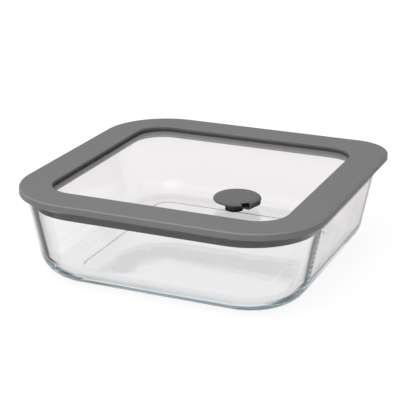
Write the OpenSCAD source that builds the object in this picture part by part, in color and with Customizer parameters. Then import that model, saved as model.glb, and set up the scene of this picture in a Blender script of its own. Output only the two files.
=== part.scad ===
// Square glass food container: a pressed glass dish with a press-on lid.
// The lid is a glass pane held in a moulded silicone ring. A silicone plug in the
// pane carries a round vent cap on a folded strap.
// Origin at the middle of the foot, +Z up, front towards -Y.

/* [Lid] */
// Outer width and depth of the lid ring
lid_w = 200; // [190:1:215]
// Outer corner radius of the lid ring
lid_corner_r = 45; // [42:1:50]
// Outer radius of the corner at the back right, which sticks out as a lifting tab
tab_corner_r = 27; // [20:1:40]
// Thickness of the flange that rests on the rim of the dish
flange_t = 4.8; // [4.2:0.1:6]
// Radius along the top outer edge of the flange
flange_edge_r = 1.3; // [0.8:0.1:2.4]
// Width of the flat band between the outer edge and the window
band_w = 22.1; // [21.1:0.25:24.1]
// Corner radius of the window in the ring
window_corner_r = 19.4; // [16:0.2:24]
// Radius along the upper edge of the window
window_edge_r = 0.8; // [0.4:0.1:1.5]
// How far the pane lies below the top of the ring
pane_recess = 2.2; // [1.7:0.1:2.5]
// Thickness of the glass pane
pane_t = 4; // [3:0.25:4.5]
// How deep the pane sits in the ring's slot
slot_depth = 5; // [3:0.25:5.5]
// Thickness of the lip under the pane
lower_lip_t = 2.3; // [1.5:0.1:2.6]

/* [Seal] */
// Depth of the seal below the top of the lid
seal_depth = 12; // [11:0.25:14]
// How far the inside of the seal lies behind the window
seal_inset = 2; // [1:0.25:4]
// Least gap between the seal and the wall of the dish
seal_gap = 0.5; // [0.35:0.05:0.8]
// Height of the sealing fin, and of the grooves above and below it
fin_t = 0.9; // [0.7:0.05:1]
// Depth of the grooves beside the fin
groove_depth = 1.7; // [1:0.1:2]

/* [Dish] */
// Outer width and depth over the rim
dish_w = 194; // [188:1:198]
// Height of the dish
dish_h = 54.2; // [45:0.2:80]
// Corner radius over the rim
dish_corner_r = 46; // [43:1:48]
// Lean of the walls from upright, in degrees
wall_lean = 11; // [6:0.5:13]
// Thickness of the walls
wall_t = 4.5; // [4:0.25:5]
// Thickness of the base
base_t = 6.5; // [5:0.25:8]
// Radius of the heel between wall and foot
heel_r = 18; // [12:0.5:18]
// Radius of the hollow inside the heel
inner_heel_r = 12.5; // [8:0.5:13]
// Radius on each side of the rim
rim_r = 1.9; // [1:0.1:2]
// Width of the flat foot ring
foot_w = 10; // [6:0.5:15]
// Height of the hollow under the base
foot_hollow = 0.5; // [0.3:0.1:1.5]

/* [Vent] */
// Distance of the vent to the right of the middle of the lid
vent_x = 41.5; // [35.5:1:47.5]
// Distance of the vent to the front of the middle of the lid
vent_y = 53.9; // [35.9:1:59.9]
// Turn of the vent's strap from the right, in degrees
vent_turn = -15; // [-60:5:60]
// Diameter of the vent cap
cap_d = 28.8; // [26.3:0.5:30.3]
// Thickness of the cap at its edge
cap_t = 2.4; // [2.3:0.1:2.8]
// Rise of the cap's domed top
cap_dome = 0.4; // [0.2:0.1:0.8]
// Height of the cap's edge above the pane
cap_z = 5; // [4.9:0.1:6]
// How far the middle of the cap lies from the middle of the plug
cap_shift = 2.3; // [0.3:0.25:2.8]
// Diameter of the plug's collar on the pane
collar_d = 11.1; // [10.5:0.1:12]
// Height of the collar
collar_h = 1.8; // [1.2:0.1:1.9]
// Diameter of the neck on the collar, and of the boss under the cap
neck_d = 9.8; // [9:0.1:10]
// Diameter of the hole in the pane
pane_hole_d = 9; // [8:0.25:9.5]
// Diameter of the steam bore through the plug
bore_d = 5; // [4:0.1:5.6]
// Diameter of the plug's flange under the pane
under_d = 11; // [10.5:0.5:14]
// Thickness of that flange
under_t = 1.2; // [1:0.1:1.6]
// Width of the folded strap
strap_w = 10; // [8:0.5:10]
// Thickness of the strap
strap_t = 1.2; // [1.2:0.1:1.4]
// Outer diameter of the strap's fold
fold_d = 5.2; // [4.9:0.1:5.4]

/* [Hidden] */
$fn = 96;

// Half sizes of the squares that join the corner axes
lid_core = lid_w / 2 - lid_corner_r;
tab_core = lid_w / 2 - tab_corner_r;
dish_core = dish_w / 2 - dish_corner_r;
window_half = lid_w / 2 - band_w;
window_core = window_half - window_corner_r;

// Heights, from the foot up
lid_top_z = dish_h + flange_t;
pane_top_z = lid_top_z - pane_recess;
pane_low_z = pane_top_z - pane_t;
lip_low_z = pane_low_z - lower_lip_t;
seal_low_z = lid_top_z - seal_depth;

// Heights on the vent, from the top of the pane up
fold_r = fold_d / 2;
strap_low = cap_z + cap_t - fold_d;
neck_top = strap_low + strap_t;
skin_low = cap_z + cap_t - strap_t;
fold_z = strap_low + fold_r;

// How far the fold stays inside the edge of the cap, and its axis from the plug's
fold_inset = 0.55;
fold_x = cap_shift + cap_d / 2 - fold_inset - fold_r;

// The tip under the cap: its reach into the bore, and how much narrower than the
// bore it is at its end and at its root
tip_reach = 1.2;
tip_taper = 1.6;
tip_gap = 0.9;

// Gaps under the boss and round the stem
boss_gap = 0.3;
stem_gap = 0.1;

// The cap's relief for the strap: its gap to the boss, its reach beside the strap, and
// the skin that is left over the part in front of the strap
relief_gap = 0.2;
relief_front = 4.6;
relief_back = 0.8;
front_skin_t = 0.4;

// How far joined shapes run into each other, and cutters past a surface
bite = 0.5;
over = 1;

function arc(centre, r, from, to, steps) =
    [for (i = [0 : steps]) let (a = from + (to - from) * i / steps)
        centre + r * [cos(a), sin(a)]];

// Sweeps a profile round a square with round corners. The profile's x runs
// outwards from the corner axis and its y is height.
module swept(core) {
    for (turn = [0 : 90 : 270]) rotate(turn) translate([core, core, 0]) {
        rotate_extrude(angle = 90) children();
        rotate([90, 0, 0]) linear_extrude(2 * core) children();
    }
}

// A plate with the outline that swept() follows
module core_plate(core, low, high) {
    translate([-core, -core, low]) cube([2 * core, 2 * core, high - low]);
}

// Distance of the dish's outer wall from the corner axis at a height
rim_axis = [dish_corner_r - rim_r, dish_h - rim_r];
wall_top = rim_axis + rim_r * [cos(wall_lean), -sin(wall_lean)];
function outer_wall(z) = wall_top[0] - (wall_top[1] - z) * tan(wall_lean);
function inner_wall(z) = outer_wall(z) - wall_t / cos(wall_lean);

heel_end_z = heel_r * (1 - sin(wall_lean));
heel_axis = [outer_wall(heel_end_z) - heel_r * cos(wall_lean), heel_r];
inner_heel_end_z = base_t + inner_heel_r * (1 - sin(wall_lean));
inner_heel_axis = [inner_wall(inner_heel_end_z) - inner_heel_r * cos(wall_lean),
    base_t + inner_heel_r];
inner_rim_axis = [inner_wall(dish_h - rim_r * (1 - sin(wall_lean)))
    + rim_r * cos(wall_lean), dish_h - rim_r];

module dish_profile() {
    foot_inner = heel_axis[0] - foot_w;
    hollow_ramp = 1.5;
    polygon(concat(
        [[0, foot_hollow], [foot_inner - hollow_ramp, foot_hollow], [foot_inner, 0]],
        arc(heel_axis, heel_r, -90, -wall_lean, 14),
        arc(rim_axis, rim_r, -wall_lean, 90, 6),
        arc(inner_rim_axis, rim_r, 90, 180 - wall_lean, 6),
        arc(inner_heel_axis, inner_heel_r, -wall_lean, -90, 12),
        [[0, base_t]]));
}

module glass_dish() color([0.86, 0.93, 0.94, 0.4]) {
    swept(dish_core) dish_profile();
    core_plate(dish_core, foot_hollow, base_t);
}

// The flange, filled in to the axis of a corner with radius r
module flange_profile(r) {
    foot_edge_r = 0.8;
    polygon(concat(
        [[0, dish_h]],
        arc([r - foot_edge_r, dish_h + foot_edge_r], foot_edge_r, -90, 0, 4),
        arc([r - flange_edge_r, lid_top_z - flange_edge_r], flange_edge_r, 0, 90, 8),
        [[0, lid_top_z]]));
}

// The corner that sticks out, with its two straight ends
module tab_corner() translate([tab_core, tab_core, 0]) {
    straight = tab_core - lid_core;
    rotate_extrude(angle = 90) flange_profile(tab_corner_r);
    rotate([90, 0, 0]) linear_extrude(straight) flange_profile(tab_corner_r);
    translate([-straight, 0, 0]) rotate([90, 0, 90]) linear_extrude(straight)
        flange_profile(tab_corner_r);
}

// The seal that hangs inside the dish, with one fin between two grooves, filled in to
// the corner axis
module seal_profile() {
    fin_z = dish_h - fin_t;
    band_z = dish_h - 3 * fin_t;
    groove_x = inner_wall(fin_z) - seal_gap - groove_depth;
    low_r = 0.9;
    low_x = inner_wall(seal_low_z) - seal_gap - low_r;
    fin_x = inner_wall(fin_z - fin_t / 2) - seal_gap - fin_t / 2;
    band_r = 0.4;
    band_x = inner_wall(band_z) - seal_gap - band_r;
    polygon(concat(
        [[0, seal_low_z], [0, dish_h + over], [groove_x, dish_h + over], [groove_x, fin_z]],
        arc([fin_x, fin_z - fin_t / 2], fin_t / 2, 90, -90, 6),
        [[groove_x, fin_z - fin_t], [groove_x, band_z]],
        arc([band_x, band_z - band_r], band_r, 90, -wall_lean, 3),
        arc([low_x, seal_low_z + low_r], low_r, -wall_lean, -90, 5)));
}

// The space inside the ring: the inside of the seal, the lower lip, the slot for the
// pane and the window
module window_profile() {
    r = window_edge_r;
    polygon(concat(
        [[0, seal_low_z - over], [window_corner_r + seal_inset, seal_low_z - over],
            [window_corner_r + seal_inset, lip_low_z], [window_corner_r, lip_low_z],
            [window_corner_r, pane_low_z], [window_corner_r + slot_depth, pane_low_z],
            [window_corner_r + slot_depth, pane_top_z], [window_corner_r, pane_top_z]],
        arc([window_corner_r + r, lid_top_z - r], r, 180, 90, 6),
        [[window_corner_r + r, lid_top_z + over], [0, lid_top_z + over]]));
}

module lid_ring() color([0.48, 0.48, 0.48]) difference() {
    union() {
        swept(lid_core) flange_profile(lid_corner_r);
        tab_corner();
        swept(dish_core) seal_profile();
    }
    swept(window_core) window_profile();
    core_plate(window_core, seal_low_z - over, lid_top_z + over);
}

module lid_glass() color([0.9, 0.94, 0.95, 0.3]) difference() {
    union() {
        swept(window_core) translate([0, pane_low_z])
            square([window_corner_r + slot_depth, pane_t]);
        core_plate(window_core, pane_low_z, pane_top_z);
    }
    translate([vent_x, -vent_y, pane_low_z - over])
        cylinder(d = pane_hole_d, h = pane_t + 2 * over);
}

// Places a vent part: its x runs along the strap and its z starts on the pane
module on_pane() {
    translate([vent_x, -vent_y, pane_top_z]) rotate(vent_turn) children();
}

// The plug that grips the pane: collar, stem and a flange below, whose lower side is
// tapered so that it can be pushed through the hole in the pane
module vent_plug() color([0.42, 0.42, 0.42]) on_pane() rotate_extrude() {
    edge_r = 0.5;
    under_land = 0.6;
    under_low = -pane_t - under_t;
    stem_r = pane_hole_d / 2 - stem_gap;
    polygon(concat(
        [[bore_d / 2, under_low], [under_d / 2 - under_t, under_low],
            [under_d / 2, -pane_t - under_land], [under_d / 2, -pane_t],
            [stem_r, -pane_t], [stem_r, 0], [collar_d / 2, 0]],
        arc([collar_d / 2 - edge_r, collar_h - edge_r], edge_r, 0, 90, 4),
        [[neck_d / 2, collar_h], [neck_d / 2, neck_top], [bore_d / 2, neck_top]]));
}

// The strap: a flat leg from the neck and a half round fold up to the cap
module vent_strap() color([0.42, 0.42, 0.42]) on_pane()
    translate([0, strap_w / 2, 0]) rotate([90, 0, 0]) linear_extrude(strap_w)
    intersection() {
        union() {
            translate([neck_d / 2, strap_low]) square([fold_x - neck_d / 2, strap_t]);
            difference() {
                translate([fold_x, fold_z]) circle(fold_r);
                translate([fold_x, fold_z]) circle(fold_r - strap_t);
                translate([fold_x - 2 * fold_r, 0]) square([2 * fold_r, 4 * fold_r]);
            }
        }
        translate([neck_d / 2, 0]) square([cap_d, skin_low]);
    }

// Section of the cap from its axis outwards
module cap_profile() {
    low_r = 0.5;
    shoulder = [2.8, 1.7];
    edge = cap_d / 2;
    flat = edge - shoulder[0];
    top = cap_z + cap_t;
    sphere_r = (pow(flat, 2) + pow(cap_dome, 2)) / (2 * cap_dome);
    rise = asin(flat / sphere_r);
    polygon(concat(
        [[0, cap_z]],
        arc([edge - low_r, cap_z + low_r], low_r, -90, 0, 3),
        [for (a = [0 : 11.25 : 78.75])
            [flat + shoulder[0] * cos(a), top - shoulder[1] * (1 - sin(a))]],
        arc([0, top + cap_dome - sphere_r], sphere_r, 90 - rise, 90, 5)));
}

// The cap: a domed disc, relieved below where the strap folds, with a boss and a
// short tip that closes the steam bore
module vent_cap() color([0.44, 0.44, 0.44]) on_pane() {
    relief_from = neck_d / 2 + relief_gap;
    relief_near = strap_w / 2 + relief_front;
    relief_far = strap_w / 2 + relief_back;
    difference() {
        translate([cap_shift, 0, 0]) rotate_extrude() cap_profile();
        translate([relief_from, -relief_near, cap_z - over])
            cube([cap_d, relief_near + relief_far, skin_low - cap_z + over]);
        translate([relief_from, -relief_near, cap_z - over])
            cube([cap_d, relief_front, cap_t - front_skin_t + over]);
    }
    translate([0, 0, neck_top + boss_gap])
        cylinder(d = neck_d, h = cap_z - neck_top - boss_gap + bite);
    translate([0, 0, neck_top - tip_reach])
        cylinder(d1 = bore_d - tip_taper, d2 = bore_d - tip_gap,
            h = tip_reach + boss_gap + bite);
}

glass_dish();
lid_ring();
lid_glass();
vent_plug();
vent_strap();
vent_cap();
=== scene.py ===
"""A square glass food container: a pressed dish, and a lid of glass and silicone with a steam vent.

Every main piece is one rule: a section carried round a square with round corners. A section is
a list of corners in millimetres, and a Geometry Nodes tree turns it into the piece. A round piece
is the same rule with a square of no size.
"""

import logging
import math
from dataclasses import dataclass
from enum import Enum
from typing import Any, Optional, Sequence

import bmesh
import bpy
from mathutils import Matrix, Vector


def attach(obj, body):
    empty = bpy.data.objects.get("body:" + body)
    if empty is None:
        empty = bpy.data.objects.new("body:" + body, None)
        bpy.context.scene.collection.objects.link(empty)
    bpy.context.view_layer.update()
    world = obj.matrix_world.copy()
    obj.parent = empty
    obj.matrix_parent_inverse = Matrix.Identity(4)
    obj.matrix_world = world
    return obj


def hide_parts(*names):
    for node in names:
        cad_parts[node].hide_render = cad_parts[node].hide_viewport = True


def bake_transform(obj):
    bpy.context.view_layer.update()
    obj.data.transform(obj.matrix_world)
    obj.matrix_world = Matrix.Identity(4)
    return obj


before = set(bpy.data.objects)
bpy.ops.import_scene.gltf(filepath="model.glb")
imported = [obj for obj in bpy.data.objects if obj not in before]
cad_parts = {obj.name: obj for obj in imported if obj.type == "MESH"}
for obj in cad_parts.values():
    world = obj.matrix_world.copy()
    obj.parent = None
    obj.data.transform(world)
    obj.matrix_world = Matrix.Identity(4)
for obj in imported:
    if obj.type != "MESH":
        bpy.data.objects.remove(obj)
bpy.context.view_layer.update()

MM = 0.001
LOG = logging.getLogger("food_container")
WHITE = "ffffff"

# Points closer than WELD become one, and edges shorter than TINY are dissolved, in metres
WELD = 1e-6
TINY = 1e-7
# Edges that bend by more than this stay sharp
SHARP = math.radians(32)


class Body(Enum):
    """The bodies of the frame that pieces ride on."""

    DISH = "dish"
    LID = "lid"
    VENT = "vent"


class Join(Enum):
    """What happens to a piece when another is combined with it."""

    ADD = "UNION"
    CUT = "DIFFERENCE"


@dataclass(frozen=True)
class Corner:
    """One corner of a section, in millimetres.

    half is half the width of the outline at this corner, height is above the foot, core is half
    the square that joins the axes of the outline's round corners, and fillet is the radius that
    rounds this corner of the section. tab is how much tighter the outline's back right corner is
    than its other three.
    """

    half: float
    height: float
    core: float = 0.0
    fillet: float = 0.0
    tab: float = 0.0


def linear(hex_code: str) -> tuple[float, float, float, float]:
    """Turns an sRGB colour into the linear one that a socket holds.

    Args:
        hex_code: six hex digits, such as "7c7c7c".

    Returns:
        Red, green, blue and alpha, linear.
    """
    levels = [int(hex_code[i : i + 2], 16) / 255 for i in (0, 2, 4)]
    # The sRGB standard's own numbers
    light = [c / 12.92 if c <= 0.04045 else ((c + 0.055) / 1.055) ** 2.4 for c in levels]
    return (*light, 1.0)


def add(tree: bpy.types.NodeTree, kind: str, inputs: Optional[dict] = None,
        **settings: Any) -> bpy.types.Node:
    """Adds one node with its settings, values and links.

    Args:
        tree: the tree that gets the node.
        kind: Blender's name for the kind of node.
        inputs: a value, or a socket to link from, for each input by name or number.
        settings: the node's own settings.

    Returns:
        The new node.
    """
    node = tree.nodes.new(kind)
    for name, value in settings.items():
        setattr(node, name, value)
    for key, value in (inputs or {}).items():
        if isinstance(value, bpy.types.NodeSocket):
            tree.links.new(value, node.inputs[key])
        else:
            node.inputs[key].default_value = value
    return node


def maths(tree: bpy.types.NodeTree, operation: str, *values: Any) -> bpy.types.NodeSocket:
    """Adds a Math node.

    Args:
        tree: the tree that gets it.
        operation: what it does.
        values: what it works on, numbers or sockets.

    Returns:
        Its result.
    """
    return add(tree, "ShaderNodeMath", dict(enumerate(values)), operation=operation).outputs[0]


def remap(tree: bpy.types.NodeTree, value: bpy.types.NodeSocket, ends: tuple[float, float],
          results: tuple[float, float] = (0.0, 1.0)) -> bpy.types.NodeSocket:
    """Adds a Map Range node.

    Args:
        tree: the tree that gets it.
        value: what it maps.
        ends: the two values that give the two results.
        results: what it gives at those ends and past them.

    Returns:
        Its result.
    """
    inputs = {"Value": value, "From Min": ends[0], "From Max": ends[1], "To Min": results[0],
              "To Max": results[1]}
    return add(tree, "ShaderNodeMapRange", inputs).outputs[0]


def mixed(tree: bpy.types.NodeTree, factor: bpy.types.NodeSocket, first: Any, second: Any,
          kind: str) -> bpy.types.NodeSocket:
    """Adds a Mix node.

    Args:
        tree: the tree that gets it.
        factor: 0 for the first value and 1 for the second.
        first: a value or a socket.
        second: a value or a socket.
        kind: FLOAT for numbers and RGBA for colours.

    Returns:
        Its result.
    """
    inputs = {"Factor": factor, "A": first, "B": second}
    return add(tree, "ShaderNodeMix", inputs, data_type=kind).outputs["Result"]


def noise(tree: bpy.types.NodeTree, spot: bpy.types.NodeSocket, size_mm: float,
          detail: float) -> bpy.types.NodeSocket:
    """Adds a noise whose spots have a real size.

    Args:
        tree: the tree that gets it.
        spot: the place in the object's own coordinates.
        size_mm: the size of its spots, in millimetres.
        detail: how many finer noises lie on it.

    Returns:
        The noise.
    """
    inputs = {"Vector": spot, "Scale": 1 / (size_mm * MM), "Detail": detail}
    return add(tree, "ShaderNodeTexNoise", inputs).outputs[0]


def bump(tree: bpy.types.NodeTree, height: bpy.types.NodeSocket, depth_mm: float,
         strength: float) -> bpy.types.NodeSocket:
    """Adds a Bump node of a real depth, in millimetres, and returns its normal."""
    inputs = {"Strength": strength, "Distance": depth_mm * MM, "Height": height}
    return add(tree, "ShaderNodeBump", inputs).outputs[0]


def blank_material(name: str) -> bpy.types.Material:
    """Makes a material whose node tree is empty."""
    made = bpy.data.materials.new(name)
    made.use_nodes = True
    made.node_tree.nodes.clear()
    return made


def shape_tree(name: str, inputs: dict[str, str], output: str) -> bpy.types.NodeTree:
    """Makes an empty Geometry Nodes tree.

    Args:
        name: its name.
        inputs: the kind of each input's socket, by the input's name.
        output: the name of the geometry that it gives.

    Returns:
        The tree.
    """
    tree = bpy.data.node_groups.new(name, "GeometryNodeTree")
    for title, kind in inputs.items():
        tree.interface.new_socket(title, in_out="INPUT", socket_type="NodeSocket" + kind)
    tree.interface.new_socket(output, in_out="OUTPUT", socket_type="NodeSocketGeometry")
    return tree


def end_tree(tree: bpy.types.NodeTree, shape: bpy.types.NodeSocket,
             material: bpy.types.NodeSocket) -> None:
    """Ends a Geometry Nodes tree: gives its shape the material and puts it out."""
    real = add(tree, "GeometryNodeRealizeInstances", {"Geometry": shape}).outputs[0]
    dressed = add(tree, "GeometryNodeSetMaterial", {"Geometry": real, "Material": material})
    add(tree, "NodeGroupOutput", {0: dressed.outputs[0]})


def put(name: str, data: bpy.types.ID) -> bpy.types.Object:
    """Adds an object to the scene, at the origin."""
    made = bpy.data.objects.new(name, data)
    bpy.context.collection.objects.link(made)
    return made


def grow(name: str, mesh: bpy.types.Mesh, tree: bpy.types.NodeTree, values: dict) -> bpy.types.Object:
    """Makes a piece by running a Geometry Nodes tree on a mesh.

    Args:
        name: the piece's name.
        mesh: the mesh that the tree starts from.
        tree: the tree.
        values: what its other inputs get, by their names.

    Returns:
        The piece, as a plain mesh.
    """
    piece = put(name, mesh)
    modifier = piece.modifiers.new("grow", "NODES")
    modifier.node_group = tree
    for socket in tree.interface.items_tree:
        if socket.name in values:
            modifier[socket.identifier] = values[socket.name]
    settle(piece)
    return piece


def settle(piece: bpy.types.Object) -> None:
    """Turns a piece's modifiers into its plain mesh, with its faces outwards and smooth shading."""
    graph = bpy.context.evaluated_depsgraph_get()
    graph.update()
    mesh = bpy.data.meshes.new_from_object(piece.evaluated_get(graph))
    piece.modifiers.clear()
    piece.data = mesh
    mesh.name = piece.name
    # A block that cuts a piece brings faces without a finish, so the piece's own is put on all
    finish = next(material for material in mesh.materials if material)
    mesh.materials.clear()
    mesh.materials.append(finish)
    mesh.polygons.foreach_set("material_index", [0] * len(mesh.polygons))
    work = bmesh.new()
    work.from_mesh(mesh)
    bmesh.ops.remove_doubles(work, verts=work.verts, dist=WELD)
    bmesh.ops.dissolve_degenerate(work, edges=work.edges, dist=TINY)
    bmesh.ops.recalc_face_normals(work, faces=work.faces)
    for face in work.faces:
        face.smooth = True
    for edge in work.edges:
        edge.smooth = len(edge.link_faces) == 2 and edge.calc_face_angle(0.0) < SHARP
    work.to_mesh(mesh)
    work.free()
    mesh.update()


def combine(piece: bpy.types.Object, other: bpy.types.Object, join: Join) -> None:
    """Adds another piece to a piece, or cuts it away.

    Args:
        piece: the piece that changes.
        other: the piece that is added or cut away, and then deleted.
        join: which of the two.
    """
    modifier = piece.modifiers.new("combine", "BOOLEAN")
    modifier.operation = join.value
    modifier.solver = "EXACT"
    modifier.object = other
    settle(piece)
    bpy.data.objects.remove(other)


class Section:
    """Traces a section: rounds its corners and adds the rows that keep flat stretches flat."""

    ARC_STEP = math.radians(6)
    # A support row stands this far from a stretch's end, and short stretches get none, in mm
    SUPPORT = 0.35
    SHORT = 4 * SUPPORT

    def __init__(self, corners: Sequence[Corner], closed: bool) -> None:
        """Keeps the corners.

        Args:
            corners: the section's corners in order.
            closed: whether it ends where it starts. An open one ends at two poles.
        """
        self.corners = list(corners)
        self.closed = closed

    @classmethod
    def plate(cls, half: float, low: float, top: float, core: float = 0.0) -> "Section":
        """Returns the section of a plate with sharp edges, from its lower to its upper middle."""
        corners = [Corner(0, low), Corner(half, low, core), Corner(half, top, core), Corner(0, top)]
        return cls(corners, closed=False)

    def rounded(self, index: int) -> list[Corner]:
        """Returns the points that stand for one corner: itself, or the arc that rounds it."""
        here = self.corners[index]
        if here.fillet <= 0:
            return [here]
        count = len(self.corners)
        point = Vector((here.half, here.height))
        ways = []
        for other in (self.corners[index - 1], self.corners[(index + 1) % count]):
            ways.append((Vector((other.half, other.height)) - point).normalized())
        bend = ways[0].angle(ways[1]) / 2
        centre = point + (ways[0] + ways[1]).normalized() * here.fillet / math.sin(bend)
        start, end = (point + way * here.fillet / math.tan(bend) - centre for way in ways)
        turn = start.angle_signed(end)
        steps = max(2, math.ceil(abs(turn) / self.ARC_STEP))
        arc = []
        for step in range(steps + 1):
            spot = centre + Matrix.Rotation(-turn * step / steps, 2) @ start
            arc.append(Corner(spot.x, spot.y, here.core, tab=here.tab))
        return arc

    def rows(self) -> list[Corner]:
        """Returns the section as rows, from its first corner to its last."""
        points: list[Corner] = []
        for index in range(len(self.corners)):
            arc = self.rounded(index)
            if points:
                points += self.supports(points[-1], arc[0])
            points += arc
        if self.closed:
            points += self.supports(points[-1], points[0]) + [points[0]]
        return points

    def supports(self, a: Corner, b: Corner) -> list[Corner]:
        """Returns a row close to each end of a straight stretch, so that its shading stays flat."""
        length = math.hypot(b.half - a.half, b.height - a.height)
        if length < self.SHORT:
            return []
        near = self.SUPPORT / length
        ends = ((a.half, b.half), (a.height, b.height), (a.core, b.core), (a.tab, b.tab))
        rows = []
        for part in (near, 1 - near):
            half, height, core, tab = (start + (end - start) * part for start, end in ends)
            rows.append(Corner(half, height, core, tab=tab))
        return rows


class SweepTree:
    """The Geometry Nodes tree that carries a section round a square with round corners."""

    TAB = "tab"
    CORNERS = 4.0

    def __init__(self) -> None:
        """Builds the tree with its named inputs."""
        inputs = {"Section": "Geometry", "Corner Steps": "Int", "Place": "Vector", "Material": "Material"}
        self.tree = shape_tree("carry_round_square", inputs, "Piece")
        self.build()

    def whole(self, number: bpy.types.NodeSocket, size: bpy.types.NodeSocket) -> bpy.types.NodeSocket:
        """Returns how many whole times size goes into a counting number."""
        middle = maths(self.tree, "ADD", number, 0.5)
        return maths(self.tree, "FLOOR", maths(self.tree, "DIVIDE", middle, size))

    def build(self) -> None:
        """Adds the nodes: a grid of columns and rows, each point put where the rule says."""
        tree = self.tree
        given = add(tree, "NodeGroupInput").outputs
        section = given["Section"]
        steps = given["Corner Steps"]
        counts = add(tree, "GeometryNodeAttributeDomainSize", {"Geometry": section})
        rows = counts.outputs["Point Count"]
        per_corner = maths(tree, "ADD", steps, 1.0)
        columns = maths(tree, "MULTIPLY", per_corner, self.CORNERS)
        lines = maths(tree, "ADD", columns, 1.0)
        grid = add(tree, "GeometryNodeMeshGrid", {"Vertices X": lines, "Vertices Y": rows})

        index = add(tree, "GeometryNodeInputIndex").outputs[0]
        row = maths(tree, "MODULO", index, rows)
        column = maths(tree, "MODULO", self.whole(index, rows), columns)
        corner = self.whole(column, per_corner)
        step = maths(tree, "SUBTRACT", column, maths(tree, "MULTIPLY", corner, per_corner))
        quarter = math.pi / 2
        corner_turn = maths(tree, "MULTIPLY", corner, quarter)
        step_turn = maths(tree, "MULTIPLY", maths(tree, "DIVIDE", step, steps), quarter)
        angle = maths(tree, "ADD", corner_turn, step_turn)

        place = add(tree, "GeometryNodeInputPosition").outputs[0]
        at_row = {"Geometry": section, "Value": place, "Index": row}
        sample = add(tree, "GeometryNodeSampleIndex", at_row, data_type="FLOAT_VECTOR", domain="POINT")
        parts = add(tree, "ShaderNodeSeparateXYZ", {0: sample.outputs["Value"]})
        half, full_radius, height = parts.outputs
        named = add(tree, "GeometryNodeInputNamedAttribute", {"Name": self.TAB}, data_type="FLOAT")
        at_row["Value"] = named.outputs["Attribute"]
        sample = add(tree, "GeometryNodeSampleIndex", at_row, data_type="FLOAT", domain="POINT")
        is_first = maths(tree, "LESS_THAN", corner, 0.5)
        tighter = maths(tree, "MULTIPLY", sample.outputs["Value"], is_first)

        radius = maths(tree, "SUBTRACT", full_radius, tighter)
        core = maths(tree, "SUBTRACT", half, radius)
        reach = maths(tree, "MULTIPLY", core, math.sqrt(2))
        diagonal = maths(tree, "ADD", corner_turn, quarter / 2)
        axes = []
        for operation in ("COSINE", "SINE"):
            axis = maths(tree, "MULTIPLY", reach, maths(tree, operation, diagonal))
            axes.append(maths(tree, "MULTIPLY_ADD", radius, maths(tree, operation, angle), axis))
        spot = add(tree, "ShaderNodeCombineXYZ", {0: axes[0], 1: axes[1], 2: height}).outputs[0]
        moved = add(tree, "GeometryNodeSetPosition", {"Geometry": grid.outputs["Mesh"], "Position": spot})
        merged = add(tree, "GeometryNodeMergeByDistance", {"Geometry": moved.outputs[0], "Distance": WELD})
        placing = {"Geometry": merged.outputs[0], "Translation": given["Place"]}
        placed = add(tree, "GeometryNodeTransform", placing)
        end_tree(tree, placed.outputs[0], given["Material"])

    def carry(self, name: str, section: Section, steps: int, material: bpy.types.Material,
              place: Vector = Vector()) -> bpy.types.Object:
        """Makes a piece from its section.

        Args:
            name: the piece's name.
            section: its section.
            steps: how many flats each round corner has.
            material: its finish.
            place: where its axis stands, in metres.

        Returns:
            The piece, as a plain mesh.
        """
        rows = section.rows()
        points = [Vector((row.half, row.half - row.core, row.height)) * MM for row in rows]
        mesh = bpy.data.meshes.new(name)
        mesh.from_pydata(points, [], [])
        tabs = mesh.attributes.new(self.TAB, "FLOAT", "POINT")
        tabs.data.foreach_set("value", [row.tab * MM for row in rows])
        values = {"Corner Steps": steps, "Place": tuple(place), "Material": material}
        return grow(name, mesh, self.tree, values)


@dataclass(frozen=True)
class ClearGlass:
    """Glass that shows a blue-green tint only through a long way of it.

    Pressed borosilicate and soda-lime glass look clear through a wall. Seen along a wall or
    through the heel, the iron in the glass tints them. wave_mm is the length of the shallow
    waves that pressing leaves, and wave_depth_mm how deep they are.
    """

    name: str
    tint: tuple[float, float, float]
    density: float
    ior: float = 1.50
    wave_mm: float = 0.0
    wave_depth_mm: float = 0.0
    shadow: str = "f4f7f7"

    def material(self) -> bpy.types.Material:
        """Builds the node material."""
        made = blank_material(self.name)
        tree = made.node_tree
        glass = add(tree, "ShaderNodeBsdfPrincipled", {"Base Color": linear(WHITE), "Roughness": 0.0,
                    "IOR": self.ior, "Transmission Weight": 1.0})
        if self.wave_mm:
            spot = add(tree, "ShaderNodeTexCoord").outputs["Object"]
            waves = noise(tree, spot, self.wave_mm, detail=1.0)
            normal = bump(tree, waves, self.wave_depth_mm, strength=1.0)
            tree.links.new(normal, glass.inputs["Normal"])
        in_shadow = add(tree, "ShaderNodeLightPath").outputs["Is Shadow Ray"]
        clear = add(tree, "ShaderNodeBsdfTransparent", {"Color": linear(self.shadow)}).outputs[0]
        mix = add(tree, "ShaderNodeMixShader", {0: in_shadow, 1: glass.outputs[0], 2: clear})
        filling = {"Color": (*self.tint, 1.0), "Density": self.density}
        fill = add(tree, "ShaderNodeVolumeAbsorption", filling)
        add(tree, "ShaderNodeOutputMaterial", {"Surface": mix.outputs[0], "Volume": fill.outputs[0]})
        return made


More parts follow.
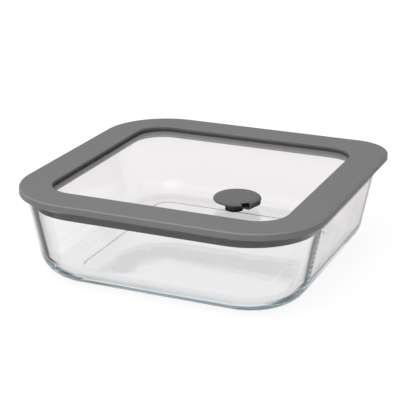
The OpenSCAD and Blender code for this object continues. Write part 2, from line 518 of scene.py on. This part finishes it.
@dataclass(frozen=True)
class MouldedSilicone:
    """Silicone rubber from a spark-textured mould: matt, with a fine even grain.

    grain_mm is the size of the grain, drawn coarser than the real 0.1 mm so that it shows, and
    cloud_mm the size of the faint clouds that handling leaves on silicone. Round the height
    highlight_height_mm the colour goes over to highlight_tone: a painted highlight, the light line
    along the rounded top edge. highlight_fade_mm says how far from that height it starts and how
    far it is full.
    """

    name: str
    colour: str
    dusty: str
    grain_mm: float = 0.7
    grain_depth_mm: float = 0.02
    grain_strength: float = 0.6
    cloud_mm: float = 38.0
    roughness: float = 0.55
    ior: float = 1.41
    sheen: float = 0.04
    sheen_roughness: float = 0.5
    highlight_height_mm: float = 0.0
    highlight_fade_mm: tuple[float, float] = (0.55, 0.1)
    highlight_tone: str = "939394"

    def material(self) -> bpy.types.Material:
        """Builds the node material."""
        made = blank_material(self.name)
        tree = made.node_tree
        spot = add(tree, "ShaderNodeTexCoord").outputs["Object"]
        clouds = noise(tree, spot, self.cloud_mm, detail=3.0)
        colour = mixed(tree, clouds, linear(self.colour), linear(self.dusty), "RGBA")
        height = add(tree, "ShaderNodeSeparateXYZ", {0: spot}).outputs[2]
        # Painted highlight: the colour turns lighter in a band round one height, where the ring's top edge
        # rounds over
        off = maths(tree, "ABSOLUTE", maths(tree, "SUBTRACT", height, self.highlight_height_mm * MM))
        start, full = self.highlight_fade_mm
        painted_highlight = remap(tree, off, (start * MM, full * MM))
        highlighted = mixed(tree, painted_highlight, colour, linear(self.highlight_tone), "RGBA")
        grain = noise(tree, spot, self.grain_mm, detail=2.0)
        normal = bump(tree, grain, self.grain_depth_mm, self.grain_strength)
        skin = add(tree, "ShaderNodeBsdfPrincipled", {"Base Color": highlighted, "Roughness": self.roughness,
                   "IOR": self.ior, "Normal": normal, "Sheen Weight": self.sheen,
                   "Sheen Roughness": self.sheen_roughness})
        add(tree, "ShaderNodeOutputMaterial", {"Surface": skin.outputs[0]})
        return made


@dataclass
class Dish:
    """The pressed glass dish. Lengths are in millimetres."""

    width: float = 194.0
    height: float = 54.2
    corner_radius: float = 46.0
    lean: float = math.radians(11)
    wall: float = 4.5
    base: float = 6.5
    heel_radius: float = 18.0
    inner_heel_radius: float = 12.5
    rim_radius: float = 1.9
    foot_width: float = 10.0
    foot_radius: float = 1.5
    foot_hollow: float = 0.5
    hollow_ramp: float = 1.5
    corner_steps: int = 40

    @property
    def core(self) -> float:
        """Half the square that joins the axes of the corners."""
        return self.width / 2 - self.corner_radius

    def outer(self, height: float) -> float:
        """Half width over the outer wall at a height, as if the wall ran on straight."""
        top = self.height - self.rim_radius * (1 + math.sin(self.lean))
        at_top = self.width / 2 - self.rim_radius * (1 - math.cos(self.lean))
        return at_top - (top - height) * math.tan(self.lean)

    def inner(self, height: float) -> float:
        """Half width over the inner wall at a height."""
        return self.outer(height) - self.wall / math.cos(self.lean)

    def section(self) -> Section:
        """Returns the wall's section from the middle of the underside to the middle of the floor."""
        core = self.core
        heel_top = self.heel_radius * (1 - math.sin(self.lean))
        heel_axis = self.outer(heel_top) - self.heel_radius * math.cos(self.lean)
        foot_inner = heel_axis - self.foot_width
        hollow = self.foot_hollow
        return Section([
            Corner(0, hollow),
            Corner(foot_inner - self.hollow_ramp, hollow, core, self.foot_radius),
            Corner(foot_inner, 0, core, self.foot_radius),
            Corner(self.outer(0), 0, core, self.heel_radius),
            Corner(self.outer(self.height), self.height, core, self.rim_radius),
            Corner(self.inner(self.height), self.height, core, self.rim_radius),
            Corner(self.inner(self.base), self.base, core, self.inner_heel_radius),
            Corner(0, self.base),
        ], closed=False)

    def make(self, sweep: SweepTree, glass: bpy.types.Material) -> list[bpy.types.Object]:
        """Makes the dish and puts it in the place of its node.

        Args:
            sweep: the tree that carries sections.
            glass: the finish.

        Returns:
            The dish.
        """
        dish = sweep.carry("dish_wall", self.section(), self.corner_steps, glass)
        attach(dish, Body.DISH.value)
        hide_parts("glass_dish")
        return [dish]


@dataclass
class Lid:
    """The lid: a silicone ring with a seal below, round a glass pane. Lengths are in millimetres."""

    dish: Dish
    width: float = 200.0
    corner_radius: float = 45.0
    flange: float = 4.8
    tab_radius: float = 27.0
    edge_radius: float = 1.3
    low_edge_radius: float = 0.8
    band: float = 22.1
    window_radius: float = 19.4
    window_edge_radius: float = 0.8
    recess: float = 2.2
    pane: float = 4.0
    slot_depth: float = 5.0
    slot_edge_radius: float = 0.15
    lower_lip: float = 2.3
    lip_radius: float = 0.3
    seal_depth: float = 12.0
    seal_inset: float = 2.0
    seal_gap: float = 0.5
    seal_top_radius: float = 0.4
    seal_inner_radius: float = 0.6
    seal_outer_radius: float = 0.9
    fin: float = 0.9
    fin_radius: float = 0.4
    groove: float = 1.7
    groove_radius: float = 0.2
    seat_radius: float = 0.3
    corner_steps: int = 32
    hole_steps: int = 12
    drill_reach: float = 1.0
    # The pane sits this far inside the silicone's skin, so that the two are seen in contact
    bed: float = 0.02

    @property
    def top(self) -> float:
        """Height of the lid's top."""
        return self.dish.height + self.flange

    @property
    def pane_top(self) -> float:
        """Height of the pane's upper face."""
        return self.top - self.recess

    def ring_section(self) -> Section:
        """Returns the ring's closed section."""
        dish = self.dish
        core = self.width / 2 - self.corner_radius
        half = self.width / 2
        window = half - self.band
        window_core = window - self.window_radius
        low, lip = self.pane_top - self.pane, self.pane_top - self.pane - self.lower_lip
        seat = dish.height
        seal_low = self.top - self.seal_depth
        groove = dish.inner(seat - self.fin) - self.seal_gap - self.groove
        fin_out = dish.inner(seat - 1.5 * self.fin) - self.seal_gap
        band_top = seat - 3 * self.fin
        inside = window + self.seal_inset
        tab = self.corner_radius - self.tab_radius
        return Section([
            Corner(groove, seat, dish.core, self.seat_radius),
            Corner(half, seat, core, self.low_edge_radius, tab),
            Corner(half, self.top, core, self.edge_radius, tab),
            Corner(window, self.top, window_core, self.window_edge_radius),
            Corner(window, self.pane_top, window_core),
            Corner(window + self.slot_depth, self.pane_top, window_core),
            Corner(window + self.slot_depth, low, window_core),
            Corner(window, low, window_core, self.slot_edge_radius),
            Corner(window, lip, window_core, self.lip_radius),
            Corner(inside, lip, window_core, self.seal_top_radius),
            Corner(inside, seal_low, window_core, self.seal_inner_radius),
            Corner(dish.inner(seal_low) - self.seal_gap, seal_low, dish.core, self.seal_outer_radius),
            Corner(dish.inner(band_top) - self.seal_gap, band_top, dish.core, self.fin_radius),
            Corner(groove, band_top, dish.core, self.groove_radius),
            Corner(groove, seat - 2 * self.fin, dish.core, self.groove_radius),
            Corner(fin_out, seat - 2 * self.fin, dish.core, self.fin_radius),
            Corner(fin_out, seat - self.fin, dish.core, self.fin_radius),
            Corner(groove, seat - self.fin, dish.core, self.groove_radius),
        ], closed=True)

    def pane_section(self) -> Section:
        """Returns the pane's section from the middle of its underside to the middle of its top."""
        half = self.width / 2 - self.band
        edge = half + self.slot_depth + self.bed
        low = self.pane_top - self.pane - self.bed
        return Section.plate(edge, low, self.pane_top, half - self.window_radius)

    def make(self, sweep: SweepTree, silicone: bpy.types.Material, glass: bpy.types.Material,
             vent: "Vent") -> list[bpy.types.Object]:
        """Makes the ring and the pane, with the vent's hole in it.

        Args:
            sweep: the tree that carries sections.
            silicone: the ring's finish.
            glass: the pane's finish.
            vent: the vent whose stem goes through the pane.

        Returns:
            The ring and the pane.
        """
        ring = sweep.carry("silicone_ring", self.ring_section(), self.corner_steps, silicone)
        pane = sweep.carry("glass_pane", self.pane_section(), self.corner_steps, glass)
        low, top = self.pane_top - self.pane - self.drill_reach, self.pane_top + self.drill_reach
        drill = Section.plate(vent.hole_diameter / 2, low, top)
        hole = sweep.carry("pane_hole", drill, self.hole_steps, glass, vent.place(self))
        combine(pane, hole, Join.CUT)
        for piece, node, slot in ((ring, "lid_ring", "ring_silicone"), (pane, "lid_glass", "pane_glass")):
            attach(piece, Body.LID.value)
            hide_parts(node)
        return [ring, pane]


@dataclass
class Vent:
    """The silicone steam vent: plug, folded strap and cap. Lengths are in millimetres."""

    right: float = 41.5
    front: float = 53.9
    turn: float = math.radians(-15)
    cap_diameter: float = 28.8
    cap_thickness: float = 2.4
    cap_dome: float = 0.4
    cap_height: float = 5.0
    cap_shift: float = 2.3
    cap_shoulder: float = 2.8
    cap_shoulder_rise: float = 1.7
    cap_low_radius: float = 0.5
    collar_diameter: float = 11.1
    collar_height: float = 1.8
    collar_radius: float = 0.5
    collar_foot_radius: float = 0.15
    neck_diameter: float = 9.8
    hole_diameter: float = 9.0
    bore_diameter: float = 5.0
    under_diameter: float = 11.0
    under_thickness: float = 1.2
    under_lip: float = 0.6
    under_end_radius: float = 0.4
    edge_radius: float = 0.3
    small_radius: float = 0.2
    tip_length: float = 1.2
    tip_end_inset: float = 0.8
    tip_root_inset: float = 0.45
    boss_gap: float = 0.3
    boss_overlap: float = 0.4
    strap_width: float = 10.0
    strap_thickness: float = 1.2
    strap_overlap: float = 0.4
    fold_diameter: float = 5.2
    fold_inset: float = 0.55
    relief_below: float = 1.0
    relief_gap: float = 0.2
    relief_front: float = 4.6
    relief_back: float = 0.8
    front_skin: float = 0.4
    steps: int = 18
    shoulder_steps: int = 10
    dome_steps: int = 5
    leg_steps: int = 5
    fold_steps: int = 16
    strap_edge_steps: int = 3

    @property
    def strap_low(self) -> float:
        """Height of the strap's lower leg above the pane."""
        return self.cap_height + self.cap_thickness - self.fold_diameter

    @property
    def neck_top(self) -> float:
        """Height of the neck's top above the pane."""
        return self.strap_low + self.strap_thickness

    def place(self, lid: Lid, height: float = 0.0, along: float = 0.0) -> Vector:
        """Returns a point of the vent's own frame in the row frame, in metres.

        Args:
            lid: the lid that carries the vent.
            height: height above the vent's origin, in millimetres.
            along: distance along the strap from the plug's axis, in millimetres.

        Returns:
            The point.
        """
        way = Vector((math.cos(self.turn), math.sin(self.turn), 0)) * along
        return (Vector((self.right, -self.front, height)) + way) * MM

    def plug_section(self, lid: Lid) -> Section:
        """Returns the plug's closed section."""
        base = lid.pane_top
        low = base - lid.pane
        bore, stem = self.bore_diameter / 2, self.hole_diameter / 2 + lid.bed
        under, collar, neck = self.under_diameter / 2, self.collar_diameter / 2, self.neck_diameter / 2
        return Section([
            Corner(bore, low - self.under_thickness, 0, self.small_radius),
            Corner(under - self.under_thickness, low - self.under_thickness, 0, self.under_end_radius),
            Corner(under, low - self.under_lip, 0, self.edge_radius),
            Corner(under, low - lid.bed, 0, self.small_radius),
            Corner(stem, low - lid.bed),
            Corner(stem, base),
            Corner(collar, base, 0, self.collar_foot_radius),
            Corner(collar, base + self.collar_height, 0, self.collar_radius),
            Corner(neck, base + self.collar_height, 0, self.small_radius),
            Corner(neck, base + self.neck_top, 0, self.edge_radius),
            Corner(bore, base + self.neck_top, 0, self.edge_radius),
        ], closed=True)

    def disc_section(self, lid: Lid) -> Section:
        """Returns the cap's section, from the middle of its underside to the middle of its top."""
        base = lid.pane_top + self.cap_height
        top = base + self.cap_thickness
        edge = self.cap_diameter / 2
        flat = edge - self.cap_shoulder
        corners = [Corner(0, base), Corner(edge, base, 0, self.cap_low_radius)]
        for step in range(self.shoulder_steps + 1):
            angle = math.pi / 2 * step / self.shoulder_steps
            height = top - self.cap_shoulder_rise * (1 - math.sin(angle))
            corners.append(Corner(flat + self.cap_shoulder * math.cos(angle), height))
        for step in range(1, self.dome_steps + 1):
            reach = flat * (1 - step / self.dome_steps)
            corners.append(Corner(reach, top + self.cap_dome * (1 - (reach / flat) ** 2)))
        return Section(corners, closed=False)

    def boss_section(self, lid: Lid) -> Section:
        """Returns the section of the boss and of the tip that closes the bore."""
        base = lid.pane_top + self.neck_top
        tip = self.bore_diameter / 2
        boss = self.neck_diameter / 2
        inside_cap = lid.pane_top + self.cap_height + self.boss_overlap
        return Section([
            Corner(0, base - self.tip_length),
            Corner(tip - self.tip_end_inset, base - self.tip_length, 0, self.edge_radius),
            Corner(tip - self.tip_root_inset, base + self.boss_gap),
            Corner(boss, base + self.boss_gap, 0, self.edge_radius),
            Corner(boss, inside_cap),
            Corner(0, inside_cap),
        ], closed=False)

    def relief(self, lid: Lid, near: float, far: float, skin: float) -> bpy.types.Object:
        """Makes a block that is cut from the cap's underside where the strap folds.

        Args:
            lid: the lid that carries the vent.
            near: where the block starts across the strap, in millimetres.
            far: where it ends across the strap, in millimetres.
            skin: how much of the cap it leaves above, in millimetres.

        Returns:
            The block.
        """
        low = lid.pane_top + self.cap_height - self.relief_below
        high = lid.pane_top + self.cap_height + self.cap_thickness - skin
        start, end = self.neck_diameter / 2 + self.relief_gap, self.cap_diameter
        middle = Vector(((start + end) / 2, (near + far) / 2, (low + high) / 2)) * MM
        size = Vector((end - start, far - near, high - low)) * MM
        place = Matrix.Translation(self.place(lid)) @ Matrix.Rotation(self.turn, 4, "Z")
        mesh = bpy.data.meshes.new("relief")
        work = bmesh.new()
        bmesh.ops.create_cube(work, size=1.0)
        work.transform(place @ Matrix.Translation(middle) @ Matrix.Diagonal((*size, 1)))
        work.to_mesh(mesh)
        work.free()
        return put("relief", mesh)

    def strap_tree(self) -> bpy.types.NodeTree:
        """Returns the Geometry Nodes tree that lays a band with rounded edges along a route."""
        inputs = {"Route": "Geometry", "Width": "Float", "Thickness": "Float", "Edge Radius": "Float",
                  "Material": "Material"}
        tree = shape_tree("folded_strap", inputs, "Strap")
        given = add(tree, "NodeGroupInput").outputs
        route = add(tree, "GeometryNodeMeshToCurve", {"Mesh": given["Route"]}).outputs[0]
        sizes = {"Width": given["Width"], "Height": given["Thickness"]}
        band = add(tree, "GeometryNodeCurvePrimitiveQuadrilateral", sizes).outputs[0]
        rounding = {"Curve": band, "Radius": given["Edge Radius"], "Count": self.strap_edge_steps}
        band = add(tree, "GeometryNodeFilletCurve", rounding, mode="POLY").outputs[0]
        laying = {"Curve": route, "Profile Curve": band, "Fill Caps": True}
        solid = add(tree, "GeometryNodeCurveToMesh", laying).outputs[0]
        end_tree(tree, solid, given["Material"])
        return tree

    def strap_route(self, lid: Lid) -> list[Vector]:
        """Returns the points of the strap's middle line: a straight leg and a half round fold."""
        radius = (self.fold_diameter - self.strap_thickness) / 2
        fold = self.cap_shift + self.cap_diameter / 2 - self.fold_inset - self.fold_diameter / 2
        base = lid.pane_top + self.strap_low + self.strap_thickness / 2
        leg = self.neck_diameter / 2 - self.strap_overlap
        points = []
        for step in range(self.leg_steps + 1):
            points.append(self.place(lid, base, leg + (fold - leg) * step / self.leg_steps))
        for step in range(1, self.fold_steps + 1):
            angle = math.pi * step / self.fold_steps
            height = base + radius * (1 - math.cos(angle))
            points.append(self.place(lid, height, fold + radius * math.sin(angle)))
        return points

    def strap(self, lid: Lid, silicone: bpy.types.Material) -> bpy.types.Object:
        """Makes the folded strap.

        Args:
            lid: the lid that carries the vent.
            silicone: the finish.

        Returns:
            The strap.
        """
        points = self.strap_route(lid)
        mesh = bpy.data.meshes.new("vent_strap_band")
        mesh.from_pydata(points, [(i, i + 1) for i in range(len(points) - 1)], [])
        values = {"Width": self.strap_width * MM, "Thickness": self.strap_thickness * MM,
                  "Edge Radius": self.edge_radius * MM, "Material": silicone}
        return grow("vent_strap_band", mesh, self.strap_tree(), values)

    def make(self, sweep: SweepTree, lid: Lid, silicone: bpy.types.Material) -> list[bpy.types.Object]:
        """Makes the plug, the cap and the strap that bends between them.

        Args:
            sweep: the tree that carries sections.
            lid: the lid that carries the vent.
            silicone: the finish.

        Returns:
            The plug, the strap and the cap.
        """
        axis = self.place(lid)
        plug = sweep.carry("vent_plug_body", self.plug_section(lid), self.steps, silicone, axis)
        cap_axis = self.place(lid, along=self.cap_shift)
        cap = sweep.carry("vent_cap_disc", self.disc_section(lid), self.steps, silicone, cap_axis)
        beside = self.strap_width / 2
        near = -beside - self.relief_front
        combine(cap, self.relief(lid, near, beside + self.relief_back, self.strap_thickness), Join.CUT)
        combine(cap, self.relief(lid, near, -beside, self.front_skin), Join.CUT)
        boss = sweep.carry("vent_boss", self.boss_section(lid), self.steps, silicone, axis)
        combine(cap, boss, Join.ADD)
        strap = self.strap(lid, silicone)
        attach(plug, Body.LID.value)
        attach(cap, Body.VENT.value)
        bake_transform(strap)
        for piece, node in ((plug, "vent_plug"), (strap, "vent_strap"), (cap, "vent_cap")):
            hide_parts(node)
        return [plug, strap, cap]


@dataclass
class Studio:
    """The white table, the room, the lamps and the camera. Lengths are in metres."""

    # How light the room's sides are below the table's height. A side's place is its angle from
    # the camera's right, counted away from the camera, as a part of half a turn.
    SIDES = ((0.0, 0.85), (0.17, 0.85), (0.22, 0.05), (0.44, 0.05), (0.47, 0.85),
             (0.55, 0.85), (0.58, 0.5), (0.64, 0.5), (0.67, 0.01), (0.96, 0.01))
    # Each lamp's name, its place, its width and its power in watts
    LAMPS = (
        ("overhead_softbox", (-0.5, 0.1, 1.5), 1.2, 3.3),
        ("front_softbox", (-0.5, 1.3, 1.0), 0.9, 3.4),
        ("near_softbox", (-0.05, 0.30, 0.62), 0.3, 0.75),
    )
    SENSOR_MM = 36.0
    SIGHT = 20.0
    # Light goes round inside the glass many times, so few bounces would leave it black
    GLASS_BOUNCES = 40
    ALL_BOUNCES = 64

    azimuth: float = math.radians(23.466)
    elevation: float = math.radians(19.775)
    distance: float = 0.821417
    right_shift: float = -0.003897
    up_shift: float = -0.020656
    focal_px: float = 1265.67
    frame_px: int = 400
    aim_height: float = 0.059
    table_half: float = 4.0
    table_gap: float = 0.0002
    paper: str = "f0f0f0"
    table_tone: str = "7c7c7c"
    table_lift: float = 0.90
    seen_white: str = "fff9fa"
    light_level: float = 0.54
    light_slant: float = 0.34
    sky_level: float = 0.78
    open_sky_level: float = 1.08
    horizon: float = 0.3
    horizon_height: float = 0.02
    horizon_fade: tuple[float, float] = (0.18, 0.24)
    under_level: float = 0.85
    steep: float = -0.68
    steep_fade: float = 0.08

    def camera(self) -> None:
        """Sets up the camera at the photograph's viewpoint."""
        az, el = self.azimuth, self.elevation
        back = Vector((math.sin(az) * math.cos(el), -math.cos(az) * math.cos(el), math.sin(el)))
        right = Vector((math.cos(az), math.sin(az), 0))
        up = back.cross(right)
        data = bpy.data.cameras.new("camera")
        data.sensor_width = self.SENSOR_MM
        data.lens = self.focal_px * data.sensor_width / self.frame_px
        data.clip_end = self.SIGHT
        camera = put("camera", data)
        turn = Matrix((right, up, back)).transposed().to_4x4()
        spot = Vector((0, 0, self.aim_height)) + right * self.right_shift
        spot += up * self.up_shift
        spot += back * self.distance
        camera.matrix_world = Matrix.Translation(spot) @ turn
        bpy.context.scene.camera = camera

    @staticmethod
    def seen(tree: bpy.types.NodeTree) -> bpy.types.NodeSocket:
        """Returns 1 for rays that show a surface directly, in a mirror or through glass."""
        path = add(tree, "ShaderNodeLightPath").outputs
        glossy = maths(tree, "MAXIMUM", path["Is Camera Ray"], path["Is Glossy Ray"])
        return maths(tree, "MAXIMUM", glossy, path["Is Transmission Ray"])

    @staticmethod
    def unreflected(tree: bpy.types.NodeTree) -> bpy.types.NodeSocket:
        """Returns 1 for rays that no mirror has turned, and 0 for the others."""
        path = add(tree, "ShaderNodeLightPath").outputs
        return maths(tree, "LESS_THAN", path["Glossy Depth"], 0.5)

    @staticmethod
    def trapped(tree: bpy.types.NodeTree) -> bpy.types.NodeSocket:
        """Returns 1 for rays that leave the glass after a reflection inside it."""
        path = add(tree, "ShaderNodeLightPath").outputs
        reflected = maths(tree, "GREATER_THAN", path["Glossy Depth"], 0.5)
        return maths(tree, "MULTIPLY", path["Is Transmission Ray"], reflected)

    def turned(self, tree: bpy.types.NodeTree, way: bpy.types.NodeSocket) -> Sequence[bpy.types.NodeSocket]:
        """Splits a direction into right, away and up, as the camera stands."""
        inputs = {"Vector": way, "Angle": -self.azimuth}
        node = add(tree, "ShaderNodeVectorRotate", inputs, rotation_type="Z_AXIS")
        return add(tree, "ShaderNodeSeparateXYZ", {0: node.outputs[0]}).outputs

    def table(self) -> None:
        """Makes the white table, which keeps the object's shadow.

        Light falls on plain paper. Rays that show the table see it lifted to the photograph's
        white, and rays that were reflected inside the glass go through it.
        """
        mesh = bpy.data.meshes.new("table")
        half, low = self.table_half, -self.table_gap
        corners = [(-half, -half, low), (half, -half, low), (half, half, low), (-half, half, low)]
        mesh.from_pydata(corners, [], [(0, 1, 2, 3)])
        table = put("table", mesh)
        made = blank_material("table_paper")
        tree = made.node_tree
        paper = add(tree, "ShaderNodeBsdfDiffuse", {"Color": linear(self.paper)})
        shaded = add(tree, "ShaderNodeBsdfDiffuse", {"Color": linear(self.table_tone)})
        straight = add(tree, "ShaderNodeLightPath").outputs["Is Camera Ray"]
        white = mixed(tree, straight, linear(self.seen_white), linear(WHITE), "RGBA")
        lift = add(tree, "ShaderNodeEmission", {"Color": white, "Strength": self.table_lift})
        seen = add(tree, "ShaderNodeAddShader", {0: shaded.outputs[0], 1: lift.outputs[0]})
        shown = {0: self.seen(tree), 1: paper.outputs[0], 2: seen.outputs[0]}
        mix = add(tree, "ShaderNodeMixShader", shown)
        gone = add(tree, "ShaderNodeBsdfTransparent")
        through = {0: self.trapped(tree), 1: mix.outputs[0], 2: gone.outputs[0]}
        both = add(tree, "ShaderNodeMixShader", through)
        add(tree, "ShaderNodeOutputMaterial", {"Surface": both.outputs[0]})
        mesh.materials.append(made)

    def world(self) -> None:
        """Makes the white room.

        Mirrors see a band near its horizon darker, and rays that were reflected inside the glass
        see its dark sides through the table.
        """
        world = bpy.data.worlds.new("white_room")
        bpy.context.scene.world = world
        world.use_nodes = True
        tree = world.node_tree
        tree.nodes.clear()
        right, away, up = self.turned(tree, add(tree, "ShaderNodeTexCoord").outputs["Generated"])
        turn = maths(tree, "DIVIDE", maths(tree, "ARCTAN2", away, right), math.pi)
        ramp = add(tree, "ShaderNodeValToRGB", {0: turn})
        stops = ramp.color_ramp
        while len(stops.elements) < len(self.SIDES):
            stops.elements.new(1.0)
        for stop, (place, level) in zip(stops.elements, self.SIDES):
            stop.position = place
            stop.color = (level, level, level, 1.0)
        slope = remap(tree, up, (self.steep - self.steep_fade, self.steep + self.steep_fade))
        sides = mixed(tree, slope, self.under_level, ramp.outputs[0], "FLOAT")
        straight = self.unreflected(tree)
        sky = remap(tree, straight, (0.0, 1.0), (self.sky_level, self.open_sky_level))
        below = maths(tree, "MULTIPLY", maths(tree, "LESS_THAN", up, 0.0), self.trapped(tree))
        level = mixed(tree, below, sky, sides, "FLOAT")
        off = maths(tree, "ABSOLUTE", maths(tree, "SUBTRACT", up, self.horizon_height))
        band = remap(tree, off, self.horizon_fade, (self.horizon, 1.0))
        level = maths(tree, "MULTIPLY", level, maths(tree, "MAXIMUM", band, straight))
        room = add(tree, "ShaderNodeBackground", {"Color": linear(self.seen_white), "Strength": level})
        slanted = maths(tree, "MULTIPLY_ADD", right, -self.light_slant, self.light_level)
        light = add(tree, "ShaderNodeBackground", {"Color": linear(WHITE), "Strength": slanted})
        shown = {0: self.seen(tree), 1: light.outputs[0], 2: room.outputs[0]}
        mix = add(tree, "ShaderNodeMixShader", shown)
        add(tree, "ShaderNodeOutputWorld", {"Surface": mix.outputs[0]})

    def lamp(self, name: str, place: tuple[float, float, float], size: float, power: float) -> None:
        """Adds a square soft lamp that points at the object.

        Args:
            name: the lamp's name.
            place: how far right, towards the camera and up it stands, in metres.
            size: its width, in metres.
            power: its power, in watts.
        """
        az = self.azimuth
        right = Vector((math.cos(az), math.sin(az), 0))
        near = Vector((math.sin(az), -math.cos(az), 0))
        spot = right * place[0] + near * place[1] + Vector((0, 0, place[2]))
        data = bpy.data.lights.new(name, "AREA")
        data.size = size
        data.energy = power
        lamp = put(name, data)
        lamp.matrix_world = Matrix.Translation(spot) @ spot.to_track_quat("Z", "Y").to_matrix().to_4x4()

    def build(self) -> None:
        """Builds the whole studio."""
        scene = bpy.context.scene
        scene.view_settings.view_transform = "Standard"
        scene.cycles.caustics_reflective = False
        scene.cycles.caustics_refractive = False
        scene.cycles.transmission_bounces = self.GLASS_BOUNCES
        scene.cycles.glossy_bounces = self.GLASS_BOUNCES
        scene.cycles.max_bounces = self.ALL_BOUNCES
        self.camera()
        self.table()
        self.world()
        for name, place, size, power in self.LAMPS:
            self.lamp(name, place, size, power)


def main() -> None:
    """Builds the container and the studio, and reports each piece."""
    logging.basicConfig(level=logging.INFO, format="%(name)s: %(message)s")
    Studio().build()
    dish_glass = ClearGlass("pressed_glass", tint=(0.05, 0.68, 0.77), density=5.0, wave_mm=26.0,
                            wave_depth_mm=0.10).material()
    pane_glass = ClearGlass("float_glass", tint=(0.10, 0.74, 0.76), density=2.0).material()
    silicone = MouldedSilicone("moulded_silicone", "777778", "7e7e7f", highlight_height_mm=58.4).material()
    vent_silicone = MouldedSilicone("moulded_silicone_vent", "696869", "6f6e6f").material()
    sweep = SweepTree()
    dish = Dish()
    lid = Lid(dish)
    vent = Vent()
    made = dish.make(sweep, dish_glass)
    made += lid.make(sweep, silicone, pane_glass, vent)
    made += vent.make(sweep, lid, vent_silicone)
    for piece in made:
        LOG.info("%s: %d faces", piece.name, len(piece.data.polygons))


if __name__ == "__main__":
    main()
